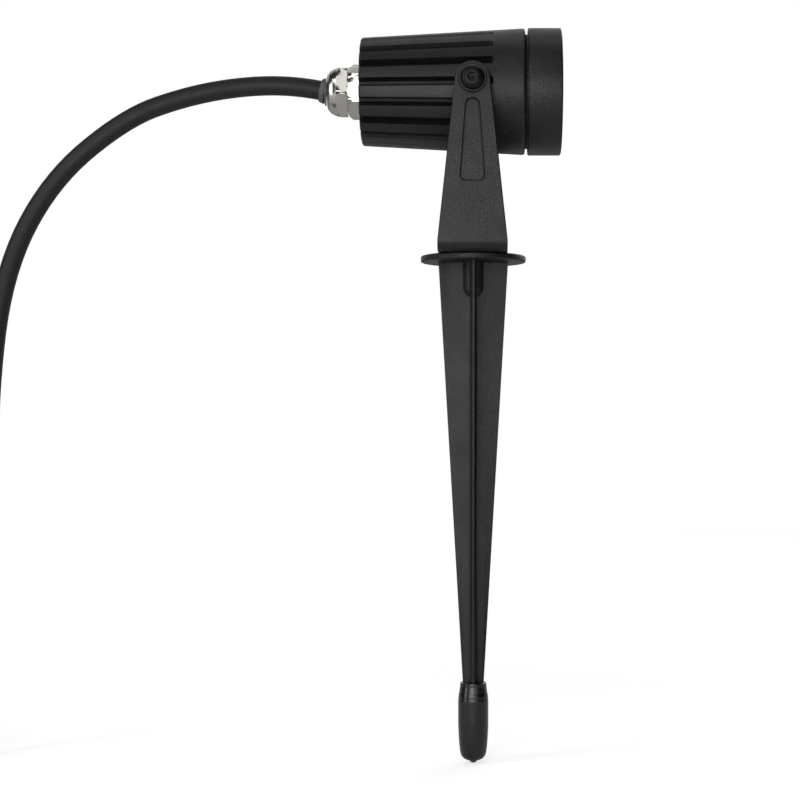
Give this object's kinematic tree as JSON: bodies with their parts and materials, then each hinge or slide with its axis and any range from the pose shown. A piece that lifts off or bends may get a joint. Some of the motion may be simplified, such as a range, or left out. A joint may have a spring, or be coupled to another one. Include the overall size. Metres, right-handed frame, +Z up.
{
  "type": "garden spike spotlight",
  "caption": "Garden spotlight: finned round lamp head tilting in a yoke on a cross-ribbed ground spike, with a cable gland and its mains lead.",
  "frame": {"origin": "centre of the spike flange's underside, level with the soil", "axes": "+Z up, along the spike's axis; +X the way the lamp shines when level"},
  "size_m": [0.4111, 0.0931, 0.293],
  "materials": {
    "black_powder_coat": "fine-textured black powder coat on die-cast aluminium",
    "black_polypropylene": "moulded black plastic, faint satin sheen",
    "black_steel_screw": "black oxide steel",
    "soft_vinyl": "glossy dip-moulded soft vinyl",
    "brass": "turned brass, bright",
    "clear_glass": "clear toughened glass",
    "sealing_rubber": "black silicone rubber",
    "bright_reflector": "vapour-coated mirror finish",
    "emitter_ceramic": "white ceramic",
    "phosphor": "yellow phosphor gel",
    "aluminium_plate": "plain machined aluminium",
    "thermal_silicone": "grey heat-conducting silicone",
    "steel_screw": "zinc-plated steel",
    "driver_plastic": "white insulating plastic",
    "circuit_board": "green glass-fibre laminate",
    "capacitor_can": "sleeved metal can",
    "wire_insulation": "insulated stranded wire",
    "nickel_plate": "nickel-plated brass",
    "washer_nylon": "black nylon",
    "cord_rubber": "black rubber sheath, dull",
    "tie_strap": "black hook-and-loop strap",
    "plug_rubber": "moulded black rubber"
  },
  "bodies": {
    "spike": {"ground_spike": "black_polypropylene", "spike_insert": "brass", "base_screw": "black_steel_screw", "base_washer": "black_steel_screw"},
    "bracket": {"yoke_bracket": "black_powder_coat", "power_cord": "cord_rubber", "cord_coil": "cord_rubber", "cord_tail": "cord_rubber", "coil_tie": "tie_strap", "plug_body": "plug_rubber", "plug_pins": "nickel_plate", "plug_earth_clips": "nickel_plate"},
    "head": {"heat_sink_body": "black_powder_coat", "front_bezel": "black_powder_coat", "front_glass": "clear_glass", "glass_gasket": "sealing_rubber", "bezel_o_ring": "sealing_rubber", "reflector": "bright_reflector", "led_emitter": "emitter_ceramic", "led_phosphor": "phosphor", "led_board": "aluminium_plate", "thermal_pad": "thermal_silicone", "board_screws": "steel_screw", "led_carrier": "aluminium_plate", "carrier_screws": "steel_screw", "driver_sleeve": "driver_plastic", "driver_board": "circuit_board", "driver_transformer": "driver_plastic", "driver_capacitor": "capacitor_can", "terminal_block": "driver_plastic", "supply_leads": "wire_insulation", "led_leads": "wire_insulation", "earth_lead": "wire_insulation", "earth_screw": "steel_screw", "gland_body": "nickel_plate", "gland_o_ring": "sealing_rubber", "gland_dome_nut": "nickel_plate", "gland_seal": "sealing_rubber", "cord_in_gland": "cord_rubber", "pivot_screws": "black_steel_screw", "pivot_washers": "washer_nylon"},
    "cap": {"tip_cap": "soft_vinyl"}
  },
  "joints": [
    {"name": "bracket_swivel", "type": "hinge", "parent": "spike", "child": "bracket", "pos_m": [0, 0, 0], "axis": [0, 0, 1], "range_deg": [-90, 90]},
    {"name": "head_tilt", "type": "hinge", "parent": "bracket", "child": "head", "pos_m": [0, 0, 0.0682], "axis": [0, 1, 0], "range_deg": [-60, 90], "deforming": ["power_cord"]},
    {"name": "tip_cap_pull", "type": "slide", "parent": "spike", "child": "cap", "axis": [0, 0, -1], "range_m": [0, 0.045]}
  ]
}
